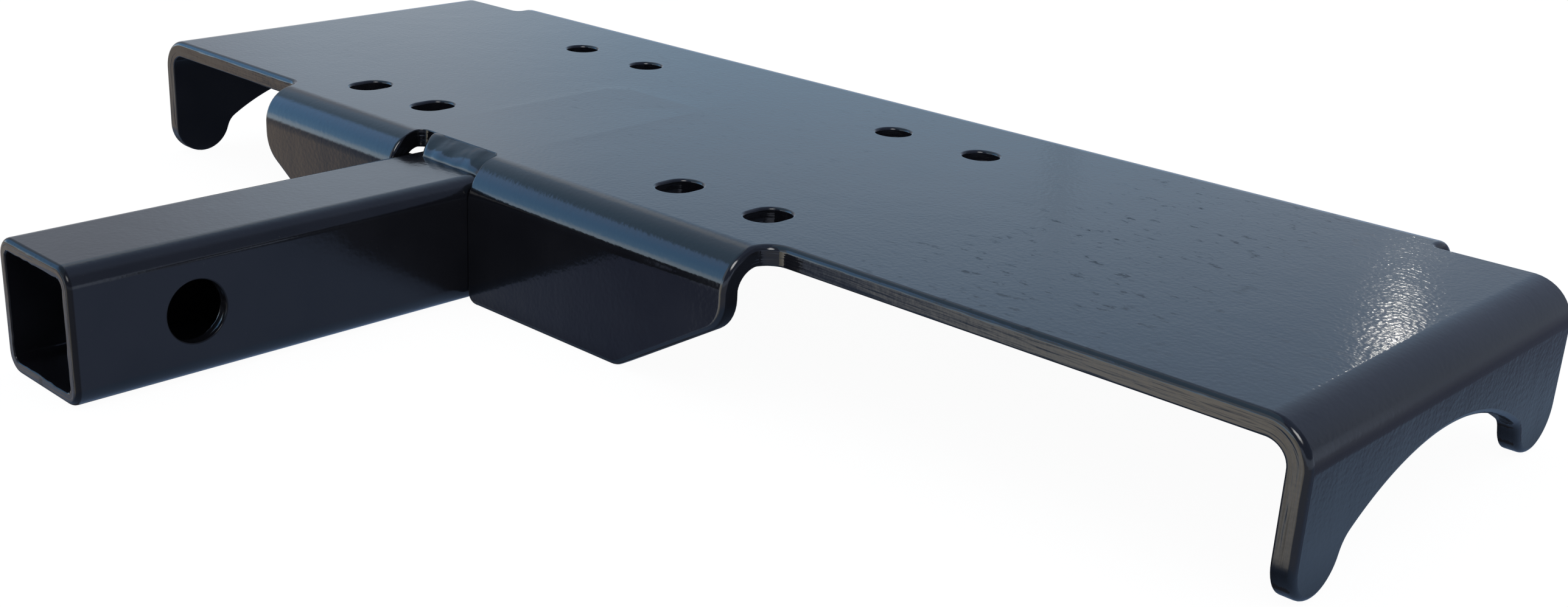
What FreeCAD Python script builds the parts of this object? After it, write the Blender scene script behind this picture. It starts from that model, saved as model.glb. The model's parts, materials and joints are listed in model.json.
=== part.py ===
"""Receiver-mounted winch plate: a bent steel plate welded to a square receiver shank.

Frame: X along the plate, +Y from the receiver towards the plate's back, +Z up.
The origin is on the shank's centre plane (X), on the front flange's outer face (Y) and on the
plane that the shank's underside, the front flange and the end legs stand on (Z).
"""
import FreeCAD, Part
import math
import os
import Sketcher

# Driving dimensions, millimetres and degrees.
DIMENSIONS = {
    # bent plate
    "sheet_thickness": 4.76,
    "bend_inside_radius": 4.76,
    "deck_length": 381.0,
    "deck_depth": 114.3,
    "deck_centre": 40.5,
    "flange_reach": 12.7,
    # square shank
    "tube_width": 31.75,
    "tube_wall": 3.05,
    "tube_corner_radius": 4.2,
    "tube_length": 181.0,
    "shank_reach": 104.0,
    "pin_hole_diameter": 14.6,
    "pin_hole_from_end": 29.4,
    # winch bolt pattern
    "winch_centre": 14.4,
    "outer_bolt_spacing": 152.4,
    "inner_bolt_spacing": 95.25,
    "bolt_row_spacing": 79.0,
    "slot_row_from_front": 27.0,
    "bolt_hole_diameter": 9.3,
    "slot_extra_length": 2.6,
    # front flange and the notch that lets the shank through it
    "front_flange_width": 177.8,
    "front_flange_flare": 1.5,
    "front_taper_height": 19.8,
    "front_taper_angle": 30.5,
    "front_upper_corner_radius": 9.0,
    "front_lower_corner_radius": 6.0,
    "front_inner_corner_radius": 3.0,
    "notch_clearance": 0.3,
    "notch_rear": 10.8,
    "notch_corner_radius": 3.0,
    "relief_radius": 3.1,
    # rear flange
    "rear_flange_width": 318.0,
    "rear_flange_drop": 25.4,
    "rear_corner_radius": 6.0,
    "rear_relief_radius": 1.5,
    # end flanges with two legs each
    "leg_width": 18.4,
    "leg_tip_radius": 9.1,
    "scoop_radius": 72.0,
    "scoop_top_height": 20.4,
    "leg_root_radius": 2.5,
    # welds
    "side_weld_leg": 4.0,
    "side_weld_start": 17.0,
    "side_weld_run_down": 1.0,
    "weld_root_gap": 0.5,
    "notch_weld_foot": 4.8,
    "notch_weld_left": 9.0,
    "notch_weld_face_radius": 12.0,
    "weld_face_roundness": 1.6,
    "flange_weld_leg": 3.5,
    "flange_weld_bottom": 4.0,
    "flange_weld_top": 25.0,
}

document = FreeCAD.newDocument("winch_plate")
sheet = document.addObject("Spreadsheet::Sheet", "Sizes")
for row, (alias, value) in enumerate(DIMENSIONS.items(), start=1):
    sheet.set(f"A{row}", alias)
    sheet.set(f"B{row}", str(value))
    sheet.setAlias(f"B{row}", alias)
document.recompute()


class Size:
    """A number that also knows the sheet expression that gives it."""

    def __init__(self, value, text):
        self.value = value
        self.text = text

    @staticmethod
    def of(other):
        return other if isinstance(other, Size) else Size(float(other), repr(float(other)))

    def __add__(self, other):
        other = Size.of(other)
        return Size(self.value + other.value, f"({self.text} + {other.text})")

    def __sub__(self, other):
        other = Size.of(other)
        return Size(self.value - other.value, f"({self.text} - {other.text})")

    def __mul__(self, other):
        other = Size.of(other)
        return Size(self.value * other.value, f"({self.text} * {other.text})")

    def __truediv__(self, other):
        other = Size.of(other)
        return Size(self.value / other.value, f"({self.text} / {other.text})")

    def __neg__(self):
        return Size(-self.value, f"(0 - {self.text})")

    def root(self):
        return Size(math.sqrt(self.value), f"sqrt({self.text})")


def size(alias):
    return Size(DIMENSIONS[alias], f"Sizes.{alias}")


ZERO = Size.of(0)
thickness = size("sheet_thickness")
bend_inside = size("bend_inside_radius")
bend_outside = thickness + bend_inside
tube_half = size("tube_width") / 2
deck_top = size("tube_width") + thickness
deck_under = size("tube_width")
deck_front = size("flange_reach")
deck_back = deck_front + size("deck_depth")
rear_face = deck_back + size("flange_reach")
deck_left = size("deck_centre") - size("deck_length") / 2
deck_right = size("deck_centre") + size("deck_length") / 2
winch_centre = size("winch_centre")
beyond = Size.of(5.0)  # how far a cutting outline runs past the material
TOLERANCE = 0.05  # how closely an edge has to lie on the place where it is looked for
PARALLEL = 0.999  # the least part of a unit vector along an axis that counts as parallel to it


def new_body(label):
    body = document.addObject("PartDesign::Body", label)
    body.Label = label
    return body


def new_sketch(body, name, role, offset=None):
    """An empty sketch on one of the body's own origin planes, moved along its normal by offset."""
    plane = next(f for f in body.Origin.OriginFeatures if f.Role == role)
    sketch = body.newObject("Sketcher::SketchObject", name)
    sketch.AttachmentSupport = [(plane, "")]
    sketch.MapMode = "FlatFace"
    if offset is not None:
        sketch.setExpression("AttachmentOffset.Base.z", offset.text)
    document.recompute()
    return sketch


def drive(sketch, constraint, amount):
    """Add a dimension to the sketch and bind it to the sheet."""
    index = sketch.addConstraint(constraint)
    sketch.setExpression(f"Constraints[{index}]", amount.text)


def place_point(sketch, geometry, point, x, y):
    """Bind one point of a sketch element to (x, y)."""
    for axis_kind, on_axis, amount in (("X", -2, x), ("Y", -1, y)):
        if amount.value == 0:
            sketch.addConstraint(Sketcher.Constraint("PointOnObject", geometry, point, on_axis))
        else:
            kind = "Distance" + axis_kind
            drive(sketch, Sketcher.Constraint(kind, -1, 1, geometry, point, amount.value), amount)


def minor_arc(start, end, radius, side):
    """The minor arc between two points, bulging to the right (side 1) or left (-1) of the way there.

    Returns the arc, which always runs anticlockwise, and whether it runs from start to end.
    """
    half_chord = (end - start) * 0.5
    to_left = FreeCAD.Vector(-half_chord.y, half_chord.x, 0).normalize()
    set_back = math.sqrt(radius ** 2 - half_chord.Length ** 2)
    centre = start + half_chord + to_left * (side * set_back)
    first, last = (start, end) if side > 0 else (end, start)
    angles = [math.atan2(p.y - centre.y, p.x - centre.x) for p in (first, last)]
    circle = Part.Circle(centre, FreeCAD.Vector(0, 0, 1), radius)
    return Part.ArcOfCircle(circle, angles[0], angles[1]), side > 0


def draw_loop(sketch, corners):
    """A closed outline through (x, y) corners; a corner (x, y, radius, side) starts an arc."""
    points = [FreeCAD.Vector(c[0].value, c[1].value, 0) for c in corners]
    starts = []
    ends = []
    for index, corner in enumerate(corners):
        start = points[index]
        end = points[(index + 1) % len(points)]
        if len(corner) == 2:
            geometry = sketch.addGeometry(Part.LineSegment(start, end))
            starts.append((geometry, 1))
            ends.append((geometry, 2))
            continue
        radius, side = corner[2], corner[3]
        arc, forward = minor_arc(start, end, radius.value, side)
        geometry = sketch.addGeometry(arc)
        starts.append((geometry, 1 if forward else 2))
        ends.append((geometry, 2 if forward else 1))
        drive(sketch, Sketcher.Constraint("Radius", geometry, radius.value), radius)
    for index in range(len(corners)):
        following = (index + 1) % len(corners)
        sketch.addConstraint(Sketcher.Constraint("Coincident", *ends[index], *starts[following]))
        place_point(sketch, *starts[index], corners[index][0], corners[index][1])
    document.recompute()


def draw_circle(sketch, x, y, diameter):
    centre = FreeCAD.Vector(x.value, y.value, 0)
    circle = Part.Circle(centre, FreeCAD.Vector(0, 0, 1), diameter.value / 2)
    geometry = sketch.addGeometry(circle)
    place_point(sketch, geometry, 3, x, y)
    drive(sketch, Sketcher.Constraint("Diameter", geometry, diameter.value), diameter)


def draw_slot(sketch, x, y, diameter, extra):
    """A round-ended slot centred on (x, y), extra longer than it is wide, running along y."""
    radius = diameter.value / 2
    reach = extra / 2
    normal = FreeCAD.Vector(0, 0, 1)
    arcs = []
    sides = []
    for direction in (-1, 1):
        centre = FreeCAD.Vector(x.value, y.value + direction * reach.value, 0)
        angles = (math.pi, 2 * math.pi) if direction < 0 else (0, math.pi)
        arcs.append(sketch.addGeometry(Part.ArcOfCircle(Part.Circle(centre, normal, radius), *angles)))
        side_x = x.value - direction * radius
        start = FreeCAD.Vector(side_x, y.value + direction * reach.value, 0)
        end = FreeCAD.Vector(side_x, y.value - direction * reach.value, 0)
        sides.append(sketch.addGeometry(Part.LineSegment(start, end)))
    near_arc, far_arc = arcs
    right, left = sides
    for first, second in ((near_arc, right), (right, far_arc), (far_arc, left), (left, near_arc)):
        sketch.addConstraint(Sketcher.Constraint("Tangent", first, 2, second, 1))
    sketch.addConstraint(Sketcher.Constraint("Equal", near_arc, far_arc))
    place_point(sketch, near_arc, 3, x, y - reach)
    place_point(sketch, far_arc, 3, x, y + reach)
    drive(sketch, Sketcher.Constraint("Diameter", near_arc, diameter.value), diameter)


def extrude(kind, body, sketch, name, length, symmetric, backwards):
    feature = body.newObject(kind, name)
    feature.Profile = sketch
    feature.setExpression("Length", length.text)
    feature.SideType = "Symmetric" if symmetric else "One side"
    feature.Reversed = backwards
    document.recompute()


def pad(body, sketch, name, length, symmetric=False, backwards=False):
    extrude("PartDesign::Pad", body, sketch, name, length, symmetric, backwards)


def pocket(body, sketch, name, length, symmetric=False, backwards=False):
    """Cut the sketch into the body, and stop if the cut removes nothing."""
    before = body.Shape.Volume
    extrude("PartDesign::Pocket", body, sketch, name, length, symmetric, backwards)
    if body.Shape.Volume >= before:
        raise RuntimeError(f"{name} cuts nothing")


def edge_names(shape, chosen):
    """Names of the edges for which chosen(middle, direction) is true."""
    names = []
    for number, edge in enumerate(shape.Edges, start=1):
        ends = edge.Vertexes
        direction = ends[-1].Point.sub(ends[0].Point) if len(ends) > 1 else FreeCAD.Vector()
        if direction.Length > 0:
            direction.normalize()
        if chosen(edge.CenterOfMass, direction):
            names.append(f"Edge{number}")
    return names


def round_edges(body, name, radius, chosen, expected):
    """Round the chosen edges of the body's present shape, and stop if their number is wrong."""
    base = body.Tip
    names = edge_names(base.Shape, chosen)
    if len(names) != expected:
        raise RuntimeError(f"{name}: found {len(names)} edges, expected {expected}")
    feature = body.newObject("PartDesign::Fillet", name)
    feature.Base = (base, names)
    feature.setExpression("Radius", radius.text)
    document.recompute()


def near(value, target):
    return abs(value - target.value) < TOLERANCE


def along(direction, axis):
    return abs(getattr(direction, axis)) > PARALLEL


def either_side(x, centre, reach):
    """Whether x lies at the given reach to the left or right of the centre."""
    return abs(abs(x - centre.value) - reach.value) < TOLERANCE


def build_deck_plate():
    """One plate, press-bent on four sides: deck, front flange, rear flange and two end flanges."""
    body = new_body("deck_plate")

    ends = new_sketch(body, "end_flange_profile", "XZ_Plane", -deck_front)
    draw_loop(ends, [
        (deck_left, ZERO), (deck_left, deck_top), (deck_right, deck_top), (deck_right, ZERO),
        (deck_right - thickness, ZERO), (deck_right - thickness, deck_under),
        (deck_left + thickness, deck_under), (deck_left + thickness, ZERO),
    ])
    pad(body, ends, "deck_and_end_flanges", size("deck_depth"), backwards=True)

    tongue = deck_front + thickness
    front = new_sketch(body, "front_flange_profile", "YZ_Plane", winch_centre)
    draw_loop(front, [
        (ZERO, ZERO), (ZERO, deck_top), (tongue, deck_top), (tongue, deck_under),
        (thickness, deck_under), (thickness, ZERO),
    ])
    front_width = size("front_flange_width") + size("front_flange_flare") * 2
    pad(body, front, "front_flange", front_width, symmetric=True)

    rear_bottom = deck_top - size("rear_flange_drop")
    rear = new_sketch(body, "rear_flange_profile", "YZ_Plane", size("deck_centre"))
    draw_loop(rear, [
        (rear_face, rear_bottom), (rear_face, deck_top), (deck_back - thickness, deck_top),
        (deck_back - thickness, deck_under), (rear_face - thickness, deck_under),
        (rear_face - thickness, rear_bottom),
    ])
    pad(body, rear, "rear_flange", size("rear_flange_width"), symmetric=True)

    def outer_bend(middle, direction):
        on_long_side = along(direction, "x") and (near(middle.y, ZERO) or near(middle.y, rear_face))
        on_end = along(direction, "y") and (near(middle.x, deck_left) or near(middle.x, deck_right))
        return near(middle.z, deck_top) and (on_long_side or on_end)

    def inner_bend(middle, direction):
        on_long_side = along(direction, "x") and (
            near(middle.y, thickness) or near(middle.y, rear_face - thickness))
        on_end = along(direction, "y") and (
            near(middle.x, deck_left + thickness) or near(middle.x, deck_right - thickness))
        return near(middle.z, deck_under) and (on_long_side or on_end)

    round_edges(body, "outer_bends", bend_outside, outer_bend, 4)
    round_edges(body, "inner_bends", bend_inside, inner_bend, 4)

    cut_front_outline(body)
    cut_notch(body)
    cut_end_scoops(body)
    cut_bolt_holes(body)
    return body


def cut_front_outline(body):
    """Trim the front flange: a slight flare at the bend, straight sides, then 30 degree tapers."""
    half = size("front_flange_width") / 2
    flare = size("front_flange_flare")
    taper_height = size("front_taper_height")
    slope = Size(1 / math.tan(math.radians(DIMENSIONS["front_taper_angle"])),
                 "1 / tan(Sizes.front_taper_angle * 1 deg)")
    run = taper_height * slope
    bend_start = deck_top - bend_outside
    for side, name in ((-1, "left"), (1, "right")):
        def across(distance, side=side):
            return winch_centre + distance if side > 0 else winch_centre - distance
        outline = new_sketch(body, f"front_outline_{name}", "XZ_Plane", beyond)
        far = half + flare + beyond
        draw_loop(outline, [
            (across(half - run), ZERO), (across(half), taper_height), (across(half), bend_start),
            (across(half + flare), deck_under), (across(half + flare), deck_top + beyond),
            (across(far), deck_top + beyond), (across(far), -beyond),
            (across(half - run), -beyond),
        ])
        pocket(body, outline, f"front_taper_{name}", deck_front + beyond)

    def through_front(direction, middle):
        return along(direction, "y") and middle.y < thickness.value

    round_edges(body, "front_upper_corners", size("front_upper_corner_radius"),
                lambda m, d: through_front(d, m) and near(m.z, taper_height), 2)
    round_edges(body, "front_lower_corners", size("front_lower_corner_radius"),
                lambda m, d: through_front(d, m) and near(m.z, ZERO), 2)
    round_edges(body, "front_reliefs", size("relief_radius"),
                lambda m, d: along(d, "z") and near(m.y, deck_front) and
                either_side(m.x, winch_centre, half + flare), 2)
    rear_half = size("rear_flange_width") / 2
    round_edges(body, "rear_reliefs", size("rear_relief_radius"),
                lambda m, d: along(d, "z") and near(m.y, deck_back) and
                either_side(m.x, size("deck_centre"), rear_half), 2)
    rear_bottom = deck_top - size("rear_flange_drop")
    round_edges(body, "rear_corners", size("rear_corner_radius"),
                lambda m, d: along(d, "y") and near(m.z, rear_bottom), 2)


def cut_notch(body):
    """The notch in the front flange and bend that the shank passes through."""
    half = tube_half + size("notch_clearance")
    notch = new_sketch(body, "shank_notch", "XY_Plane", -beyond)
    draw_loop(notch, [
        (-half, -beyond), (half, -beyond),
        (half, size("notch_rear")), (-half, size("notch_rear")),
    ])
    pocket(body, notch, "notch", deck_top + beyond * 2, backwards=True)
    round_edges(body, "notch_corners", size("notch_corner_radius"),
                lambda m, d: along(d, "z") and near(m.y, size("notch_rear")), 2)
    round_edges(body, "front_inner_corners", size("front_inner_corner_radius"),
                lambda m, d: along(d, "y") and near(m.z, ZERO) and
                either_side(m.x, ZERO, half) and m.y < thickness.value, 2)


def cut_end_scoops(body):
    """Each end flange keeps two round-ended legs with a shallow arch between them."""
    leg = size("leg_width")
    radius = size("scoop_radius")
    front = deck_front + leg
    back = deck_back - leg
    half_span = (back - front) / 2
    drop = radius - (radius * radius - half_span * half_span).root()
    shoulder = size("scoop_top_height") - drop
    scoop = new_sketch(body, "scoop_outline", "YZ_Plane", size("deck_centre"))
    draw_loop(scoop, [
        (front, -beyond), (front, shoulder, radius, -1),
        (back, shoulder), (back, -beyond),
    ])
    pocket(body, scoop, "end_scoops", size("deck_length") + beyond, symmetric=True)
    round_edges(body, "leg_roots", size("leg_root_radius"),
                lambda m, d: along(d, "x") and near(m.z, shoulder), 4)
    round_edges(body, "leg_tips", size("leg_tip_radius"),
                lambda m, d: along(d, "x") and near(m.z, ZERO) and
                either_side(m.x, size("deck_centre"), (size("deck_length") - thickness) / 2), 8)


def cut_bolt_holes(body):
    """Eight bolt holes: the back row is round, and the front row is slotted front to back."""
    slot_row = size("slot_row_from_front")
    back_row = slot_row + size("bolt_row_spacing")
    diameter = size("bolt_hole_diameter")
    columns = []
    for spacing in (size("outer_bolt_spacing"), size("inner_bolt_spacing")):
        columns.append(winch_centre - spacing / 2)
        columns.append(winch_centre + spacing / 2)
    holes = new_sketch(body, "bolt_hole_layout", "XY_Plane", deck_top)
    for column in columns:
        draw_circle(holes, column, back_row, diameter)
        draw_slot(holes, column, slot_row, diameter, size("slot_extra_length"))
    document.recompute()
    pocket(body, holes, "bolt_holes", thickness * 2)


def build_shank_tube():
    """The square tube that enters the receiver, with the pin hole through both side walls."""
    body = new_body("shank_tube")
    inner = tube_half - size("tube_wall")
    width = size("tube_width")
    section = new_sketch(body, "tube_section", "XZ_Plane", size("shank_reach"))
    draw_loop(section, [
        (-tube_half, ZERO), (tube_half, ZERO), (tube_half, width), (-tube_half, width),
    ])
    draw_loop(section, [
        (-inner, size("tube_wall")), (inner, size("tube_wall")),
        (inner, width - size("tube_wall")), (-inner, width - size("tube_wall")),
    ])
    pad(body, section, "tube_length", size("tube_length"), backwards=True)
    round_edges(body, "outer_corners", size("tube_corner_radius"),
                lambda m, d: along(d, "y") and either_side(m.x, ZERO, tube_half), 4)
    round_edges(body, "inner_corners", size("tube_corner_radius") - size("tube_wall"),
                lambda m, d: along(d, "y") and either_side(m.x, ZERO, inner), 4)
    hole = new_sketch(body, "pin_hole_circle", "YZ_Plane")
    along_tube = size("pin_hole_from_end") - size("shank_reach")
    draw_circle(hole, along_tube, tube_half, size("pin_hole_diameter"))
    pocket(body, hole, "pin_hole", width + beyond, symmetric=True)
    return body


def build_notch_weld():
    """The bead that runs from the notch's rear edge down to the top of the shank."""
    body = new_body("notch_weld")
    foot = size("notch_weld_foot")
    rear = size("notch_rear")
    shoulder = deck_under - size("tube_corner_radius")
    section = new_sketch(body, "bead_section", "YZ_Plane", -size("notch_weld_left"))
    draw_loop(section, [
        (foot, shoulder), (rear, shoulder), (rear, deck_top, size("notch_weld_face_radius"), -1),
        (foot, deck_under),
    ])
    pad(body, section, "bead", size("notch_weld_left") + tube_half)
    tube_room = new_sketch(body, "shank_outline", "XZ_Plane")
    corner = size("tube_corner_radius")
    flat = tube_half - corner
    draw_loop(tube_room, [
        (-tube_half, shoulder, corner, -1), (-flat, deck_under), (flat, deck_under, corner, -1),
        (tube_half, shoulder),
    ])
    pocket(body, tube_room, "shank_seat", rear * 2)
    return body


def fillet_section(sketch, corner_x, corner_y, leg_x, leg_y, leg):
    """A fillet weld's section in the corner (corner_x, corner_y), with a slightly convex face."""
    across = corner_x + leg_x
    up = corner_y + leg_y
    side = 1 if leg_x.value * leg_y.value > 0 else -1
    face = leg * size("weld_face_roundness")
    draw_loop(sketch, [(corner_x, corner_y), (across, corner_y, face, side), (corner_x, up)])


def build_side_weld(label, side):
    """A fillet weld under the deck along one side of the shank, over the shank's rounded corner."""
    body = new_body(label)
    leg = size("side_weld_leg")
    corner = size("tube_corner_radius")
    gap = size("weld_root_gap")
    reach = (corner * corner - (corner - gap) * (corner - gap)).root()
    root = tube_half - corner + reach

    def at(distance):
        return distance if side > 0 else -distance

    face = leg * size("weld_face_roundness")
    bottom = deck_under - leg - size("side_weld_run_down")
    section = new_sketch(body, "bead_section", "XZ_Plane", -size("side_weld_start"))
    draw_loop(section, [
        (at(root), deck_under), (at(tube_half + leg), deck_under, face, side),
        (at(tube_half), bottom), (at(tube_half), deck_under - corner, corner, side),
        (at(root), deck_under - gap),
    ])
    rear_end = size("tube_length") - size("shank_reach")
    pad(body, section, "bead", rear_end - size("side_weld_start"), backwards=True)
    return body


def build_rear_weld():
    """A fillet weld across the shank's rear end, under the deck."""
    body = new_body("rear_weld")
    leg = size("side_weld_leg")
    rear_end = size("tube_length") - size("shank_reach")
    width = (tube_half - size("tube_corner_radius")) * 2
    section = new_sketch(body, "bead_section", "YZ_Plane")
    fillet_section(section, rear_end, deck_under, leg, -size("tube_wall"), leg)
    pad(body, section, "bead", width, symmetric=True)
    return body


def build_flange_weld(label, side):
    """An upright fillet weld between the back of the front flange and one side of the shank."""
    body = new_body(label)
    leg = size("flange_weld_leg")
    face = tube_half if side > 0 else -tube_half
    section = new_sketch(body, "bead_section", "XY_Plane", size("flange_weld_bottom"))
    reach = leg + size("notch_clearance")
    fillet_section(section, face, thickness, reach if side > 0 else -reach, leg, leg)
    pad(body, section, "bead", size("flange_weld_top") - size("flange_weld_bottom"))
    return body


pieces = [
    build_deck_plate(),
    build_shank_tube(),
    build_notch_weld(),
    build_side_weld("side_weld_left", -1),
    build_side_weld("side_weld_right", 1),
    build_rear_weld(),
    build_flange_weld("flange_weld_left", -1),
    build_flange_weld("flange_weld_right", 1),
]

document.recompute()
for item in document.Objects:
    if "Invalid" in item.State or "Error" in item.State:
        raise RuntimeError(f"{item.Label} failed: {item.State}")
for piece in pieces:
    if piece.Shape.isNull() or not piece.Shape.isValid() or len(piece.Shape.Solids) != 1:
        raise RuntimeError(f"{piece.Label} is not one valid solid")

os.makedirs("parts", exist_ok=True)
for piece in pieces:
    piece.Shape.exportStep(f"parts/{piece.Label}.step")
    box = piece.Shape.BoundBox
    spans = [(box.XMin, box.XMax), (box.YMin, box.YMax), (box.ZMin, box.ZMax)]
    print(f"{piece.Label}: {piece.Shape.Volume:.0f} mm3,", ", ".join(f"{a:.1f} to {b:.1f}" for a, b in spans))
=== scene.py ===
import json
import math

import bpy
import numpy as np
from mathutils import Matrix, Vector, geometry, kdtree, noise


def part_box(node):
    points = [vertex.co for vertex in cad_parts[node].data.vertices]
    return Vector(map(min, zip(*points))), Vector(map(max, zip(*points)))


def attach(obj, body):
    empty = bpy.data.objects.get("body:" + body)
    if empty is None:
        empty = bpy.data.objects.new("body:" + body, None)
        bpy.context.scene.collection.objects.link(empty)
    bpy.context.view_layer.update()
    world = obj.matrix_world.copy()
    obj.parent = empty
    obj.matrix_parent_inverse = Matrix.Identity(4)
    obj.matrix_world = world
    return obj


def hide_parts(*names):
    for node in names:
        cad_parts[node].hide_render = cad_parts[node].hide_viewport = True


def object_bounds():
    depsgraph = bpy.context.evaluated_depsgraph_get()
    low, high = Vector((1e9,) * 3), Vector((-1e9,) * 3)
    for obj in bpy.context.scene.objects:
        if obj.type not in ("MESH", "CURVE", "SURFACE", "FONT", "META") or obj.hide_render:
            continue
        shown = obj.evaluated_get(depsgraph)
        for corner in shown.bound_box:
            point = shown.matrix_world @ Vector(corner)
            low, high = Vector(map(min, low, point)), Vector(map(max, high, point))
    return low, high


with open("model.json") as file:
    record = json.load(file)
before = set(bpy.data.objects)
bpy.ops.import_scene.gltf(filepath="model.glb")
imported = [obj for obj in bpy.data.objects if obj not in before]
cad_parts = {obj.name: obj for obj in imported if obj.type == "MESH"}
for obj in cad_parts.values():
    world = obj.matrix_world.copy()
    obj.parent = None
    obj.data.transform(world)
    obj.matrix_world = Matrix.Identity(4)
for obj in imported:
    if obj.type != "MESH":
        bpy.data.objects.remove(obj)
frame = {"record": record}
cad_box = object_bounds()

# The visible pieces of a receiver-mounted winch plate: a bent steel plate, the square shank tube
# under it and the weld beads that join them, all under semi-gloss black powder coat. Shapes are
# worked out in millimetres in the row's frame and written to the meshes in metres.

MM = 0.001


def box_mm(node):
    """Low and high corners of a CAD node's box."""
    low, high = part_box(node)
    return np.array(low) / MM, np.array(high) / MM


def mount(name):
    """One of the record's mounts."""
    return next(m for m in frame["record"]["mounts"] if m["name"] == name)


plate_low, plate_high = box_mm("deck_plate")
tube_low, tube_high = box_mm("shank_tube")
deck_top = plate_high[2]
sheet_thickness = plate_high[2] - tube_high[2]
tube_width = tube_high[0] - tube_low[0]
tube_half = tube_width / 2

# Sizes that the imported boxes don't give.
BEND_RADIUS = sheet_thickness * 2
FLANGE_REACH = 12.7
FRONT_FLANGE_WIDTH = 177.8
FRONT_FLARE = 1.5
FRONT_TAPER_HEIGHT = 19.8
FRONT_TAPER_ANGLE = 30.5
REAR_FLANGE_WIDTH = 318.0
REAR_FLANGE_DROP = 25.4
LEG_WIDTH = 18.4
LEG_ROOT_RADIUS = 6.0
SCOOP_RADIUS = 72.0
SCOOP_TOP = 19.7
NOTCH_CLEARANCE = 0.1
NOTCH_REAR = 10.8
SLOT_EXTRA = 2.6
TUBE_WALL = 3.05
TUBE_CORNER = 4.8

# Rounding of the cut edges at the outer and the inner skin.
PLATE_ROUNDING = (1.5, 0.5)
PLATE_TIGHT_ROUNDING = 0.3
HOLE_ROUNDING = (0.8, 0.4)
TUBE_END_ROUNDING = (1.4, 0.5)
PIN_HOLE_ROUNDING = (0.35, 0.25)

# Longest side of a sampled outline, and the skins' grid steps in bends, over the shank, on the open
# deck and down the legs.
OUTLINE_STEP = 1.25
BEND_STEP = 1.25
SHANK_STEP = 1.4
OPEN_STEP = 5
LEG_STEP = 3

winch_centre = mount("rear_bolts_outer")["pos_m"][0] / MM
deck_front = plate_low[1] + FLANGE_REACH
deck_back = plate_high[1] - FLANGE_REACH
deck_centre = (plate_low[0] + plate_high[0]) / 2


# ---------------------------------------------------------------- outlines

def round_corners(corners, arc_step=9.0):
    """A closed outline from (x, y, radius) corners, with arcs sampled every arc_step degrees."""
    points = []
    count = len(corners)
    for index, (x, y, radius) in enumerate(corners):
        here = np.array((x, y))
        before = np.array(corners[index - 1][:2])
        after = np.array(corners[(index + 1) % count][:2])
        back = (before - here) / np.linalg.norm(before - here)
        ahead = (after - here) / np.linalg.norm(after - here)
        turn = math.pi - math.acos(np.clip(back @ ahead, -1, 1))
        if radius == 0 or turn < math.radians(3):
            points.append(here)
            continue
        reach = radius * math.tan(turn / 2)
        middle = here + (back + ahead) / np.linalg.norm(back + ahead) * radius / math.cos(turn / 2)
        start = here + back * reach - middle
        side = np.sign(back[1] * ahead[0] - back[0] * ahead[1])
        steps = max(2, math.ceil(math.degrees(turn) / arc_step))
        for step in range(steps + 1):
            angle = side * turn * step / steps
            c, s = math.cos(angle), math.sin(angle)
            points.append(middle + np.array((c * start[0] - s * start[1], s * start[0] + c * start[1])))
    return np.array(points)


def subdivide(points, step):
    """The closed outline with no side longer than step."""
    made = []
    for start, end in zip(points, np.roll(points, -1, axis=0)):
        pieces = max(1, math.ceil(np.linalg.norm(end - start) / step))
        made.extend(start + (end - start) * k / pieces for k in range(pieces))
    return np.array(made)


def outward_normals(points):
    """Unit normals that point to the right of the way round: outwards for an anticlockwise outline."""
    along = np.roll(points, -1, axis=0) - np.roll(points, 1, axis=0)
    along /= np.linalg.norm(along, axis=1)[:, None]
    return np.column_stack((along[:, 1], -along[:, 0]))


def inside(points, outline):
    """Which of the points lie inside a closed outline."""
    result = np.zeros(len(points), bool)
    px, py = points[:, 0], points[:, 1]
    for (x0, y0), (x1, y1) in zip(outline, np.roll(outline, -1, axis=0)):
        if y0 == y1:
            continue
        crosses = (y0 > py) != (y1 > py)
        result ^= crosses & (px < (x1 - x0) * (py - y0) / (y1 - y0) + x0)
    return result


# ---------------------------------------------------------------- bent sheets

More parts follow.
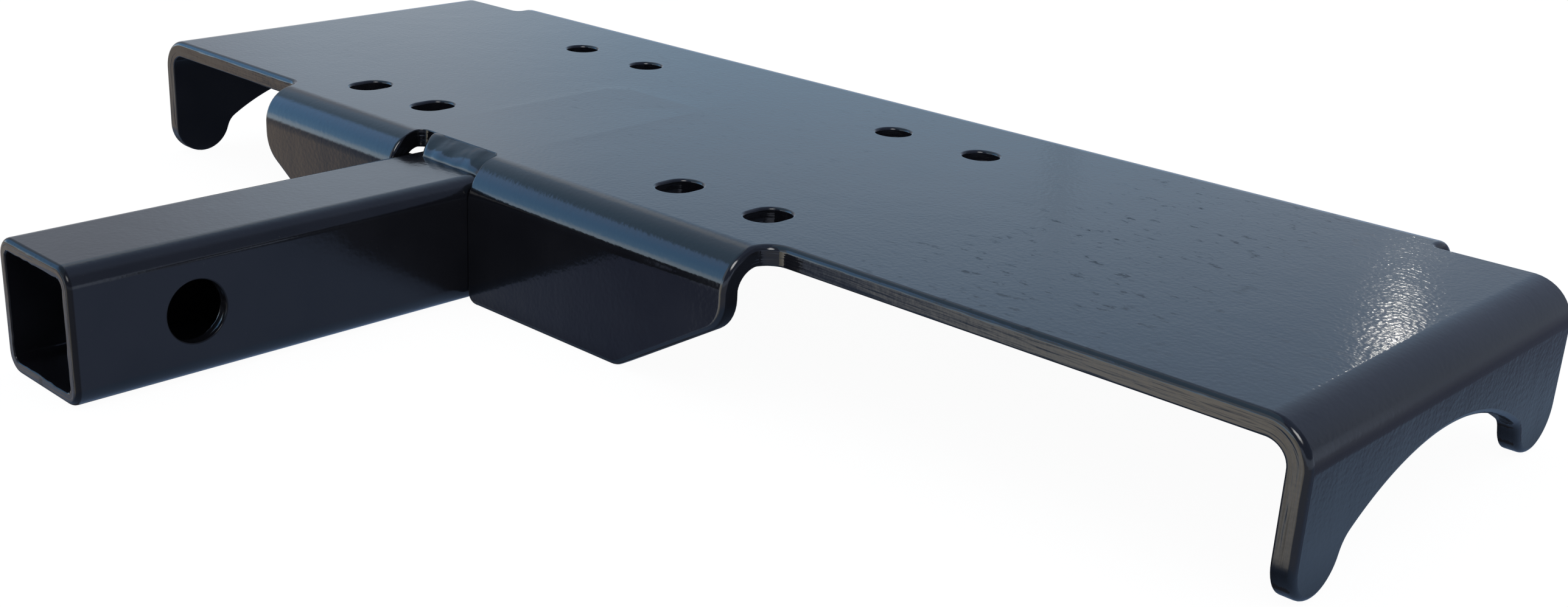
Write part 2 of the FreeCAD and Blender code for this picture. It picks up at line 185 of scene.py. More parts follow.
class Sheet:
    """Vertices of a bent sheet, kept in its flat pattern until they are folded.

    A vertex has a place on the flat pattern, a depth below the outer skin, the direction in the
    pattern that leads out of the sheet, how far its normal leans out of the cut edge (lean, 0 to
    1) and to which skin (face, 1 outer to -1 inner), and its distance along the cut edge (run).
    """

    def __init__(self, thickness):
        self.thickness = thickness
        self.place = []
        self.depth = []
        self.out = []
        self.lean = []
        self.face = []
        self.run = []
        self.faces = []

    def add(self, place, depth, out, lean, face, run=0.0):
        first = len(self.depth)
        count = len(place)
        self.place.extend(place)
        self.depth.extend(np.broadcast_to(depth, count))
        self.out.extend(np.broadcast_to(out, (count, 2)))
        self.lean.extend([lean] * count)
        self.face.extend([face] * count)
        self.run.extend(np.broadcast_to(run, count))
        return np.arange(first, first + count)

    def add_rim(self, points, out, outer_radius, inner_radius, raggedness=None):
        """The cut edge along a closed chain, rounded at both skins. Returns the two skins' chains.

        The outer radius may differ from point to point. Raggedness moves the inner skin's end of
        the edge up and down.
        """
        profile = []
        outer_radius = np.broadcast_to(outer_radius, len(points))
        for angle in np.radians(np.linspace(0, 90, 7)):
            inset = outer_radius * (1 - math.sin(angle))
            profile.append((inset, outer_radius * (1 - math.cos(angle)), math.sin(angle), math.cos(angle)))
        middle = self.thickness / 2
        profile.append((np.zeros(len(points)), middle, 1, 0))
        for angle in np.radians(np.linspace(0, 90, 5)):
            inset = inner_radius * (1 - math.cos(angle))
            depth = self.thickness - inner_radius * (1 - math.sin(angle))
            profile.append((np.full(len(points), inset), depth, math.cos(angle), -math.sin(angle)))
        steps = np.linalg.norm(points - np.roll(points, 1, axis=0), axis=1)
        run = np.cumsum(steps) - steps[0]
        rings = []
        for inset, depth, lean, face in profile:
            uneven = 0 if raggedness is None else raggedness * (depth / self.thickness) ** 3
            rings.append(self.add(points - out * inset[:, None], depth + uneven, out, lean, face, run))
        for ring, following in zip(rings, rings[1:]):
            self.faces.extend(zip(ring, following, np.roll(following, -1), np.roll(ring, -1)))
        return rings[0], rings[-1]

    def add_skin(self, outline, holes, grid, face, clearance=0.6):
        """Fill between closed chains of vertices, with the grid's points that lie clear of them."""
        chains = [outline, *holes]
        loops = [np.array([self.place[i] for i in chain]) for chain in chains]
        keep = inside(grid, loops[0])
        for loop in loops[1:]:
            keep &= ~inside(grid, loop)
        grid = grid[keep]
        rims = np.vstack(loops)
        tree = kdtree.KDTree(len(rims))
        for index, point in enumerate(rims):
            tree.insert((point[0], point[1], 0), index)
        tree.balance()
        clear = [tree.find((p[0], p[1], 0))[2] > clearance for p in grid]
        grid = grid[np.array(clear, bool)]
        depth = 0 if face > 0 else self.thickness
        middle = self.add(grid, depth, (0, 0), 0, face)
        ids = np.concatenate([*chains, middle])
        points = np.vstack([rims, grid])
        edges = []
        first = 0
        for loop in loops:
            count = len(loop)
            edges.extend((first + k, first + (k + 1) % count) for k in range(count))
            first += count
        found = geometry.delaunay_2d_cdt([Vector(p) for p in points], edges, [], 0, 1e-7)
        source = np.array([origins[0] for origins in found[3]])
        triangles = source[np.array(found[2])]
        centres = points[triangles].mean(axis=1)
        keep = inside(centres, loops[0])
        for loop in loops[1:]:
            keep &= ~inside(centres, loop)
        triangles = ids[triangles[keep]]
        if face < 0:
            triangles = triangles[:, ::-1]
        self.faces.extend(map(tuple, triangles))

    def build(self, name, fold, sink=None, same=None):
        """The folded mesh. sink gives each outer-skin point's extra depth; same joins a seam's vertices."""
        place = np.array(self.place, float)
        depth = np.array(self.depth, float)
        out = np.array(self.out, float)
        lean = np.array(self.lean, float)[:, None]
        face = np.array(self.face, float)[:, None]
        point, along_u, along_v, normal = fold(place)
        upper = np.clip(1 - depth / self.thickness, 0, 1)[:, None]
        tilt = np.zeros((len(place), 2))
        if sink is not None:
            step = 0.05
            tilt[:, 0] = (sink(place + (step, 0)) - sink(place - (step, 0))) / (2 * step)
            tilt[:, 1] = (sink(place + (0, step)) - sink(place - (0, step))) / (2 * step)
            depth = depth + sink(place) * upper[:, 0]
        skin_normal = normal + (tilt[:, :1] * along_u + tilt[:, 1:] * along_v) * upper
        edge_normal = out[:, :1] * along_u + out[:, 1:] * along_v
        point = point - normal * depth[:, None]
        vertex_normal = edge_normal * lean + skin_normal * face
        vertex_normal /= np.linalg.norm(vertex_normal, axis=1)[:, None]
        faces = self.faces
        if same is not None:
            faces = [tuple(same.get(i, i) for i in f) for f in faces]
        attributes = {"cut_edge": lean[:, 0], "edge_run": self.run, "edge_depth": self.depth}
        return make_mesh(name, point, faces, vertex_normal, attributes)


def make_mesh(name, points, faces, normals=None, attributes=None):
    """A smooth mesh object from points in millimetres, without the points that no face uses."""
    used = np.unique(np.concatenate([np.array(f) for f in faces]))
    renumber = np.full(len(points), -1)
    renumber[used] = np.arange(len(used))
    mesh = bpy.data.meshes.new(name)
    corners = [renumber[list(face)].tolist() for face in faces]
    mesh.from_pydata((np.asarray(points)[used] * MM).tolist(), [], corners)
    for attribute, values in (attributes or {}).items():
        layer = mesh.attributes.new(attribute, "FLOAT", "POINT")
        layer.data.foreach_set("value", np.asarray(values, np.float32)[used])
    mesh.polygons.foreach_set("use_smooth", [True] * len(mesh.polygons))
    if normals is not None:
        mesh.normals_split_custom_set_from_vertices(np.asarray(normals)[used].tolist())
    mesh.update()
    piece = bpy.data.objects.new(name, mesh)
    bpy.context.scene.collection.objects.link(piece)
    return piece


# ---------------------------------------------------------------- deck plate

tangent_low = plate_low[:2] + BEND_RADIUS
tangent_high = plate_high[:2] - BEND_RADIUS
quarter_bend = BEND_RADIUS * math.pi / 2


def pattern_reach(height):
    """How far past the bend's start a height on the folded flange lies in the flat pattern."""
    bend_end = deck_top - BEND_RADIUS
    if height <= bend_end:
        return quarter_bend + bend_end - height
    return BEND_RADIUS * math.acos((height - bend_end) / BEND_RADIUS)


def fold_plate(place):
    """Folds flat-pattern points of the deck plate. Returns points, both tangents and normals."""
    point = np.column_stack((place, np.full(len(place), deck_top)))
    tangents = []
    normal = np.zeros((len(place), 3))
    normal[:, 2] = 1
    for axis in (0, 1):
        flat = np.clip(place[:, axis], tangent_low[axis], tangent_high[axis])
        past = place[:, axis] - flat
        side = np.sign(past)
        angle = np.clip(np.abs(past) / BEND_RADIUS, 0, math.pi / 2)
        straight = np.maximum(np.abs(past) - quarter_bend, 0)
        point[:, axis] = flat + side * BEND_RADIUS * np.sin(angle)
        point[:, 2] -= BEND_RADIUS * (1 - np.cos(angle)) + straight
        tangent = np.zeros((len(place), 3))
        tangent[:, axis] = np.cos(angle)
        tangent[:, 2] = -side * np.sin(angle)
        tangents.append(tangent)
        normal[:, axis] = side * np.sin(angle)
        normal[:, 2] *= np.cos(angle)
    return point, tangents[0], tangents[1], normal


def arc(centre, radius, start, end):
    """Points along an arc, from one point on it to another, the short way."""
    first = math.atan2(*(start - centre)[::-1])
    sweep = (math.atan2(*(end - centre)[::-1]) - first + math.pi) % (2 * math.pi) - math.pi
    steps = max(2, math.ceil(abs(sweep) / min(math.radians(9), OUTLINE_STEP / radius)))
    angles = first + sweep * np.linspace(0, 1, steps + 1)
    return centre + radius * np.column_stack((np.cos(angles), np.sin(angles)))


def leg_and_scoop():
    """Lower edge of half an end flange, from a leg's outer side to the scoop's crest.

    Points are (height, distance from the deck's middle line). The round leg tip runs into the
    wide scoop through a small root arc that touches both.
    """
    tip_radius = LEG_WIDTH / 2
    tip = np.array((tip_radius, (deck_back - deck_front) / 2 - tip_radius))
    scoop = np.array((SCOOP_TOP - SCOOP_RADIUS, 0.0))
    from_tip = tip_radius + LEG_ROOT_RADIUS
    from_scoop = SCOOP_RADIUS - LEG_ROOT_RADIUS
    apart = np.linalg.norm(scoop - tip)
    towards = (scoop - tip) / apart
    along = (from_tip ** 2 - from_scoop ** 2 + apart ** 2) / (2 * apart)
    across = math.sqrt(from_tip ** 2 - along ** 2)
    root = tip + towards * along + across * np.array((-towards[1], towards[0]))
    outer_side = tip + (0, tip_radius)
    lowest = tip - (tip_radius, 0)
    leave_tip = tip + (root - tip) * tip_radius / from_tip
    join_scoop = scoop + (root - scoop) * SCOOP_RADIUS / from_scoop
    crest = scoop + (SCOOP_RADIUS, 0)
    return [*arc(tip, tip_radius, outer_side, lowest), *arc(tip, tip_radius, lowest, leave_tip)[1:],
            *arc(root, LEG_ROOT_RADIUS, leave_tip, join_scoop)[1:],
            *arc(scoop, SCOOP_RADIUS, join_scoop, crest)[1:]]


def plate_outline():
    """The blank's outline, anticlockwise from the front flange's left corner."""
    front_lower_corner, front_upper_corner, front_deck_corner = 6.0, 9.0, 5.0
    notch_corner, rear_corner, rear_relief = 3.0, 6.0, 1.5
    front_edge = tangent_low[1] - pattern_reach(0)
    taper_top = tangent_low[1] - pattern_reach(FRONT_TAPER_HEIGHT)
    taper_run = FRONT_TAPER_HEIGHT / math.tan(math.radians(FRONT_TAPER_ANGLE))
    half_front = FRONT_FLANGE_WIDTH / 2
    notch_half = tube_half + NOTCH_CLEARANCE
    rear_edge = tangent_high[1] + pattern_reach(deck_top - REAR_FLANGE_DROP)
    half_rear = REAR_FLANGE_WIDTH / 2
    middle = (deck_front + deck_back) / 2

    def front_side(side):
        """Corners of the front flange's free end on one side, from the bottom up to the deck."""
        return [
            (winch_centre + side * (half_front - taper_run), front_edge, front_lower_corner),
            (winch_centre + side * half_front, taper_top, front_upper_corner),
            (winch_centre + side * half_front, tangent_low[1] - quarter_bend, 0),
            (winch_centre + side * (half_front + FRONT_FLARE), deck_front, front_deck_corner),
        ]

    def end_flange(side):
        """Points of one end flange: front leg, scoop and back leg, from front to back."""
        start = tangent_high[0] if side > 0 else tangent_low[0]
        half = [(start + side * pattern_reach(height), reach) for height, reach in leg_and_scoop()]
        front_half = [(u, middle - reach, 0) for u, reach in half]
        back_half = [(u, middle + reach, 0) for u, reach in reversed(half)]
        return front_half + back_half[1:]

    notch = [(-notch_half, front_edge, notch_corner), (-notch_half, NOTCH_REAR, notch_corner),
             (notch_half, NOTCH_REAR, notch_corner), (notch_half, front_edge, notch_corner)]
    rear_left, rear_right = deck_centre - half_rear, deck_centre + half_rear
    rear = [(rear_right, deck_back, rear_relief), (rear_right, rear_edge, rear_corner),
            (rear_left, rear_edge, rear_corner), (rear_left, deck_back, rear_relief)]
    corners = [front_side(-1)[0], *notch, *front_side(1), *end_flange(1), *rear,
               *reversed(end_flange(-1)), *reversed(front_side(-1)[1:])]
    return subdivide(round_corners(corners), OUTLINE_STEP)


def hole_outlines():
    """Clockwise outlines of the eight bolt holes: round at the back, slotted at the front."""
    made = []
    angles = -np.radians(np.arange(0, 360, 7.5))
    for name in ("rear_bolts_outer", "rear_bolts_inner"):
        bolts = mount(name)
        slots_y = mount(name.replace("rear_bolts", "front_slots"))["pos_m"][1] / MM
        radius = bolts["dims"]["hole_r_mm"]
        for side in (-1, 1):
            x = winch_centre + side * bolts["dims"]["spacing_x_mm"] / 2
            for y, extra in ((bolts["pos_m"][1] / MM, 0), (slots_y, SLOT_EXTRA)):
                shift = np.sign(np.round(np.sin(angles), 6)) * extra / 2
                across = x + radius * np.cos(angles)
                made.append(np.column_stack((across, y + shift + radius * np.sin(angles))))
    return made


weld_back = box_mm("rear_weld")[1][1]


def print_through(place):
    """Depth of the faint marks of the hidden welds on the deck: a low ridge round a shallow dish.

    The ridge is a rounded frame over the shank, open at the front. The deck falls away on both
    sides of it and comes back to its level far from the shank.
    """
    middle_x = -1.5
    half_width = 17.5
    corner = 8.0
    back = weld_back + 1.5
    depth_at_most = 0.10
    outer_fall = 6.0
    outer_return = 80.0
    front = NOTCH_REAR + 5
    fade_length = 30.0
    away = np.abs(place - (middle_x, 0)) - (half_width - corner, back - corner)
    distance = np.linalg.norm(np.maximum(away, 0), axis=1) + np.minimum(away.max(axis=1), 0) - corner
    towards_middle = np.clip(-distance / half_width, 0, 1)
    beyond = np.maximum(distance, 0)
    dish = 1 - (1 - towards_middle) ** 2
    around = (1 - np.exp(-beyond / outer_fall)) * np.exp(-beyond / outer_return)
    fade = np.clip((place[:, 1] - front) / fade_length, 0, 1)
    return depth_at_most * (dish + around) * fade * fade * (3 - 2 * fade)


def spread(*spans):
    """Grid lines over joined (start, end, step) spans."""
    lines = [np.linspace(a, b, max(2, math.ceil((b - a) / step)), endpoint=False) for a, b, step in spans]
    return np.append(np.concatenate(lines), spans[-1][1])


def plate_grid(fine):
    """Points of the flat pattern, close together in the bends and, for the top skin, over the shank."""
    leg = pattern_reach(0)
    (left, front), (right, back) = tangent_low, tangent_high
    shank_left, shank_right, shank_back = -28, 30, weld_back + 10
    shank_step = SHANK_STEP if fine else OPEN_STEP
    columns = spread((left - leg, left - quarter_bend, LEG_STEP), (left - quarter_bend, left, BEND_STEP),
                     (left, shank_left, OPEN_STEP), (shank_left, shank_right, shank_step),
                     (shank_right, right, OPEN_STEP), (right, right + quarter_bend, BEND_STEP),
                     (right + quarter_bend, right + leg, LEG_STEP))
    rows = spread((front - leg, front - quarter_bend, LEG_STEP), (front - quarter_bend, front, BEND_STEP),
                  (front, shank_back, shank_step), (shank_back, back, OPEN_STEP),
                  (back, back + quarter_bend, BEND_STEP), (back + quarter_bend, back + leg, LEG_STEP))
    x, y = np.meshgrid(columns, rows)
    return np.column_stack((x.ravel(), y.ravel()))


def rim_radius(outline):
    """Rounding of the cut edge's outer side: generous, but tight where it closes on the shank."""
    x, y = outline.T
    blend = 3.0
    beside = np.clip((np.abs(x) - tube_half - NOTCH_CLEARANCE) / blend, 0, 1)
    bend_start = np.clip((y - tangent_low[1] + quarter_bend) / blend, 0, 1)
    bend_end = np.clip((5 - y) / blend, 0, 1)
    behind_notch = y > NOTCH_REAR + 1
    openness = np.where(behind_notch, 1.0, np.maximum(beside, 0.7 * bend_start * bend_end))
    return PLATE_TIGHT_ROUNDING + (PLATE_ROUNDING[0] - PLATE_TIGHT_ROUNDING) * openness


def build_plate():
    sheet = Sheet(sheet_thickness)
    outline = plate_outline()
    rims = [sheet.add_rim(outline, outward_normals(outline), rim_radius(outline), PLATE_ROUNDING[1])]
    for hole in hole_outlines():
        rims.append(sheet.add_rim(hole, outward_normals(hole), *HOLE_ROUNDING))
    tops = [rim[0] for rim in rims]
    bottoms = [rim[1] for rim in rims]
    sheet.add_skin(tops[0], tops[1:], plate_grid(True), 1)
    sheet.add_skin(bottoms[0], bottoms[1:], plate_grid(False), -1)
    return sheet.build("bent_plate", fold_plate, sink=print_through)


# ---------------------------------------------------------------- shank tube

flat_side = tube_width - 2 * TUBE_CORNER
corner_arc = TUBE_CORNER * math.pi / 2
tube_perimeter = 4 * (flat_side + corner_arc)


def fold_tube(place):
    """Wraps (distance round, distance forward) about the square tube, from its underside's middle."""
    around = np.mod(place[:, 0] + flat_side / 2, tube_perimeter)
    side = np.floor(around / (flat_side + corner_arc))
    within = around - side * (flat_side + corner_arc)
    flat = np.minimum(within, flat_side)
    bend = np.maximum(within - flat_side, 0) / TUBE_CORNER
    x = flat - flat_side / 2 + TUBE_CORNER * np.sin(bend)
    y = -tube_half + TUBE_CORNER * (1 - np.cos(bend))
    turn = side * math.pi / 2
    c, s = np.cos(turn), np.sin(turn)
    cb, sb = np.cos(turn + bend), np.sin(turn + bend)
    zero = np.zeros(len(place))
    point = np.column_stack((c * x - s * y, -place[:, 1], s * x + c * y + tube_half + tube_low[2]))
    along_u = np.column_stack((cb, zero, sb))
    along_v = np.column_stack((zero, zero - 1, zero))
    normal = np.column_stack((sb, zero, -cb))
    return point, along_u, along_v, normal


def tube_stations():
    """Distances round the tube, close together at its corners."""
    stations = []
    for side in range(4):
        start = side * (flat_side + corner_arc) - flat_side / 2
        stations.extend(np.linspace(start, start + flat_side, 12, endpoint=False))
        stations.extend(np.linspace(start + flat_side, start + flat_side + corner_arc, 10, endpoint=False))
    return np.sort(np.mod(stations, tube_perimeter))


def ragged(positions, seed, size):
    """A rough saw-cut edge: irregular steps along a chain."""
    coarse = [0.6 * noise.noise((p * 0.9, seed, 0)) for p in positions]
    fine = [noise.noise((p * 2.1, seed, 5)) for p in positions]
    return size * (np.array(coarse) + np.array(fine))


def tube_ends(sheet, around, back, front):
    """The rounded, slightly ragged cut edges at both ends."""
    ends = []
    for v, direction in ((back, -1), (front, 1)):
        points = np.column_stack((around, np.full(len(around), v)))
        out = np.tile((0.0, float(direction)), (len(around), 1))
        order = slice(None) if direction < 0 else slice(None, None, -1)
        rough = ragged(around[order], direction, 0.5)
        ends.append(sheet.add_rim(points[order], out, *TUBE_END_ROUNDING, rough))
    return ends


def pin_hole_rims(sheet):
    """The hitch pin's holes in the two side walls."""
    pin = mount("pin_hole")
    radius = pin["dims"]["r_mm"]
    angles = -np.radians(np.arange(0, 360, 6))
    forward = radius * np.sin(angles) - pin["pos_m"][1] / MM
    rims = []
    for side in (1, 3):
        centre = side * (flat_side + corner_arc)
        circle = np.column_stack((centre + radius * np.cos(angles), forward))
        rough = ragged(np.degrees(angles) / 8, centre, 0.3)
        rims.append(sheet.add_rim(circle, outward_normals(circle), *PIN_HOLE_ROUNDING, rough))
    return rims


def build_tube():
    """The tube is one strip of sheet whose two long sides meet along the underside's middle."""
    sheet = Sheet(TUBE_WALL)
    around = tube_stations()
    back, front = -tube_high[1], -tube_low[1]
    ends = tube_ends(sheet, around, back, front)
    hole_rims = pin_hole_rims(sheet)
    rows = spread((back + 2, front - 45, 6), (front - 45, front - 2, 3))
    x, y = np.meshgrid(around[1:], rows)
    grid = np.column_stack((x.ravel(), y.ravel()))
    same = {}
    for skin, face in ((0, 1), (1, -1)):
        back_ids, front_ids = ends[0][skin], ends[1][skin]
        depth = 0 if face > 0 else TUBE_WALL
        seam = {}
        for u in (0.0, tube_perimeter):
            seam[u] = sheet.add(np.column_stack((np.full(len(rows), u), rows)), depth, (0, 0), 0, face)
        corners = sheet.add([(tube_perimeter, sheet.place[back_ids[0]][1]),
                             (tube_perimeter, sheet.place[front_ids[-1]][1])], depth, (0, 0), 0, face)
        same.update(zip(seam[tube_perimeter], seam[0.0]))
        same.update(((corners[0], back_ids[0]), (corners[1], front_ids[-1])))
        outline = np.concatenate((back_ids, corners[:1], seam[tube_perimeter], corners[1:],
                                  front_ids, seam[0.0][::-1]))
        sheet.add_skin(outline, [rim[skin] for rim in hole_rims], grid, face)
    return sheet.build("square_shank", fold_tube, same=same)


# ---------------------------------------------------------------- weld beads

def ripple(along, across, pitch, seed):
    """Height, 0 to 1, of the crescent ripples that a hand-laid bead has."""
    bow = 1 - (2 * across - 1) ** 2
    wander = 0.35 * noise.noise((along * 0.35, across * 2, seed))
    phase = (along + 0.55 * pitch * bow) / pitch + wander
    step = phase - math.floor(phase)
    return 0.5 + 0.5 * math.cos(2 * math.pi * (step ** 0.75))


def swept_bead(node, start, end, leg_a, leg_b, bulge, pitch, seed):
    """A rippled fillet bead from start to end, whose section lies between the legs a and b."""
    station_step = 0.45
    ribs = 12
    end_length = 2.5
    end_scale = 0.35
    ripple_height = 0.22
    start, end = np.array(start, float), np.array(end, float)
    length = np.linalg.norm(end - start)
    axis = (end - start) / length
    leg_a, leg_b = np.array(leg_a, float), np.array(leg_b, float)
    outward = (leg_a + leg_b) / np.linalg.norm(leg_a + leg_b)
    stations = max(8, math.ceil(length / station_step))
    points = []
    for i in range(stations + 1):
        along = length * i / stations
        swell = min(1, min(along, length - along) / end_length)
        scale = end_scale + (1 - end_scale) * math.sqrt(max(0, 1 - (1 - swell) ** 2))
        scale *= 1 + 0.05 * noise.noise((along * 0.25, seed, 1))
        root = start + axis * along
        for j in range(ribs + 1):
            t = j / ribs
            crown = 4 * t * (1 - t)
            lift = (bulge + (ripple(along, t, pitch, seed) - 0.5) * ripple_height) * crown
            points.append(root + (leg_a * (1 - t) + leg_b * t + outward * lift) * scale)
        points.append(root - (leg_a + leg_b) * 0.02)
    row = ribs + 2
    faces = []
    for i in range(stations):
        for j in range(row):
            k = (j + 1) % row
            faces.append((i * row + j, i * row + k, (i + 1) * row + k, (i + 1) * row + j))
    faces.append(tuple(range(row)))
    faces.append(tuple(stations * row + j for j in reversed(range(row))))
    if np.dot(np.cross(leg_a, leg_b), axis) < 0:
        faces = [face[::-1] for face in faces]
    piece = make_mesh(node.replace("weld", "bead"), points, faces)
    piece.data.set_sharp_from_angle(angle=math.radians(50))
    return finish_piece(piece, node, weld_material)


def build_side_beads():
    """The fillets between the deck's underside and the tube's rounded upper corners."""
    leg = 4.6
    inset = 1.0
    end_gap = 0.2
    for node, side in (("side_weld_left", -1), ("side_weld_right", 1)):
        low, high = box_mm(node)
        x = side * (tube_half - inset)
        start = (x, low[1] + end_gap, tube_high[2])
        end = (x, high[1] - end_gap, tube_high[2])
        swept_bead(node, start, end, (side * leg, 0, 0), (side * 0.9, 0, -leg),
                   bulge=0.15, pitch=2.6, seed=side + 3)


def build_rear_bead():
    """The fillet between the deck's underside and the tube's rear end."""
    low, high = box_mm("rear_weld")
    start = (low[0], tube_high[1], tube_high[2])
    end = (high[0], tube_high[1], tube_high[2])
    swept_bead("rear_weld", start, end, (0, 3.6, 0), (0, 0, -3.0), bulge=0.1, pitch=2.4, seed=11)


def build_flange_beads():
    """The upright fillets behind the front flange, on both sides of the tube."""
    top = tube_high[2] - 0.95
    for node, side in (("flange_weld_left", -1), ("flange_weld_right", 1)):
        bottom = box_mm(node)[0][2]
        start = (side * tube_half, sheet_thickness, bottom)
        end = (side * tube_half, sheet_thickness, top)
        swept_bead(node, start, end, (side * 3.3, 0, 0), (0, 3.2, 0), bulge=0.1, pitch=2.3, seed=side + 20)


def build_notch_bead():
    """The bead between the notch's rear edge and the shank's top, with its rounded left end."""
    low, high = box_mm("notch_weld")
    foot_y = low[1]
    lap_y = NOTCH_REAR + 1.25
    left_top, left_foot = low[0] - 3.4, low[0] + 0.4
    right = high[0] + 0.15
    highest = deck_top - 0.01
    nose_radius = 1.3
    roundness = 1.55
    rows = np.linspace(0, 1, 25)
    nose = np.radians(np.linspace(0, 90, 8))
    runs = np.linspace(0, 1, 90)
    surface, under = [], []
    for column in range(len(nose) + len(runs) - 1):
        if column < len(nose):
            along, drop = 0.0, nose_radius * (1 - math.sin(nose[column]))
            back = nose_radius * (1 - math.cos(nose[column]))
        else:
            along, drop, back = runs[column - len(nose) + 1], 0.0, nose_radius
        for t in rows:
            left = left_top + (left_foot - left_top) * t ** 1.3
            x = left + back + (right - left - back) * along
            beyond_flat = min(max(0.0, abs(x) - (tube_half - TUBE_CORNER)), TUBE_CORNER)
            ground = tube_high[2] - TUBE_CORNER + math.sqrt(TUBE_CORNER ** 2 - beyond_flat ** 2)
            lap = lap_y + 0.35 * noise.noise((x * 0.3, 3, 0))
            foot = foot_y + 0.4 * noise.noise((x * 0.2, 9, 0))
            y = lap + (foot - lap) * t
            body = (highest - ground) * (1 - t ** roundness) ** (1 / roundness)
            clear_of_edges = min(1.0, 3.5 * t) * min(1.0, 4 * (1 - t))
            lump = 0.45 * noise.noise((x * 0.17, y * 0.17, 7)) + 0.05 * noise.noise((x * 0.6, y * 0.5, 2))
            z = min(ground + body + clear_of_edges * lump, highest)
            z -= min(drop, max(0.0, z - ground))
            surface.append((x, y, z))
            under.append((x, y, min(ground - 0.2, z - 0.05)))
    columns = len(surface) // len(rows)
    faces = lattice_faces(columns, len(rows), len(surface))
    piece = make_mesh("notch_bead", surface + under, faces)
    piece.data.set_sharp_from_angle(angle=math.radians(60))
    return finish_piece(piece, "notch_weld", weld_material)


def lattice_faces(columns, rows, count):
    """Faces of a closed slab: a columns by rows lattice, a copy of it that starts at count, and the rim."""
    faces = []
    for i in range(columns - 1):
        for j in range(rows - 1):
            a, b = i * rows + j, (i + 1) * rows + j
            faces.append((a, a + 1, b + 1, b))
            faces.append((count + a, count + b, count + b + 1, count + a + 1))
    border = [i * rows for i in range(columns)]
    border += [(columns - 1) * rows + j for j in range(1, rows)]
    border += [i * rows + rows - 1 for i in range(columns - 2, -1, -1)]
    border += list(range(rows - 2, 0, -1))
    faces.extend((a, b, count + b, count + a) for a, b in zip(border, border[1:] + border[:1]))
    return faces


# ---------------------------------------------------------------- materials

class Nodes:
    """Short ways to make and join shader nodes in one tree."""

    def __init__(self, tree):
        self.tree = tree
        tree.nodes.clear()

    def add(self, kind, inputs=None, **settings):
        node = self.tree.nodes.new("ShaderNode" + kind)
        for key, value in settings.items():
            setattr(node, key, value)
        for key, value in (inputs or {}).items():
            self.feed(node.inputs[key], value)
        return node

    def feed(self, socket, value):
        """Links another node's output, or sets a value; a colour may come without its alpha."""
        if isinstance(value, bpy.types.NodeSocket):
            self.tree.links.new(value, socket)
        elif socket.type == "RGBA" and len(value) == 3:
            socket.default_value = (*value, 1)
        else:
            socket.default_value = value

    def math(self, operation, a, b=0.0, c=0.0):
        return self.add("Math", {0: a, 1: b, 2: c}, operation=operation).outputs[0]

    def vector(self, operation, *terms):
        return self.add("VectorMath", dict(enumerate(terms)), operation=operation)

    def product(self, *factors):
        result = factors[0]
        for factor in factors[1:]:
            result = self.math("MULTIPLY", result, factor)
        return result

    def mix(self, factor, a, b):
        return self.add("Mix", {0: factor, 6: a, 7: b}, data_type="RGBA").outputs[2]

    def tint(self, factor, colour, by):
        inputs = {0: factor, 6: colour, 7: by}
        return self.add("Mix", inputs, data_type="RGBA", blend_type="MULTIPLY").outputs[2]

    def between(self, value, low, high, start=0.0, end=1.0, smooth=True):
        kind = "SMOOTHSTEP" if smooth else "LINEAR"
        inputs = {0: value, 1: low, 2: high, 3: start, 4: end}
        return self.add("MapRange", inputs, interpolation_type=kind).outputs[0]

    def window(self, *edges):
        """1 where every (value, outside, inside) edge is passed, falling smoothly to 0 beyond any."""
        return self.product(*(self.between(*edge) for edge in edges))

    def noise(self, vector, scale, detail=2.0, roughness=0.5):
        inputs = {"Vector": vector, "Scale": scale, "Detail": detail, "Roughness": roughness}
        return self.add("TexNoise", inputs).outputs[0]

    def stretched(self, vector, scale):
        return self.add("Mapping", {"Vector": vector, "Scale": scale}).outputs[0]

    def separate(self, vector):
        return self.add("SeparateXYZ", {0: vector}).outputs

    def bump(self, height, distance, under=None):
        inputs = {"Strength": 1.0, "Distance": distance, "Height": height}
        if under is not None:
            inputs["Normal"] = under
        return self.add("Bump", inputs).outputs[0]

    def ramp(self, value, low, high, stops):
        """Colours at places from low to high, joined by straight blends."""
        node = self.add("ValToRGB", {0: self.between(value, low, high, smooth=False)})
        elements = node.color_ramp.elements
        while len(elements) < len(stops):
            elements.new(1.0)
        for element, (place, colour) in zip(elements, stops):
            element.position = (place - low) / (high - low)
            element.color = (*colour, 1)
        return node.outputs[0]


def coat_colour(nodes, place):
    """Near-black, a little uneven, with fine dust."""
    patches = nodes.between(nodes.noise(place, 35, 3), 0.35, 0.7)
    black = nodes.mix(patches, (0.0035, 0.0037, 0.0052), (0.0060, 0.0062, 0.0082))
    dust = nodes.between(nodes.noise(place, 1500, 2, 0.7), 0.70, 0.80)
    return nodes.mix(nodes.product(dust, 0.35), black, (0.045, 0.043, 0.040))


def scuff_marks(nodes, place, facing):
    """Short drawn-out marks on level skin, most of them where the right end is handled."""
    drawn = nodes.noise(nodes.stretched(place, (0.5, 1.0, 1.0)), 380, 3, 0.75)
    marks = nodes.between(drawn, 0.575, 0.69)
    anywhere = nodes.between(nodes.noise(place, 16, 2), 0.46, 0.62, 0.0, 0.4)
    x, y = nodes.separate(place)[:2]
    handled = nodes.window((x, 0.105, 0.145), (x, 0.200, 0.175))
    where = nodes.math("ADD", anywhere, handled)
    level = nodes.between(facing, 0.7, 0.95)
    fainter_in_front = nodes.between(y, 0.012, 0.060, 0.55, 1.0)
    return nodes.product(marks, where, level, fainter_in_front)


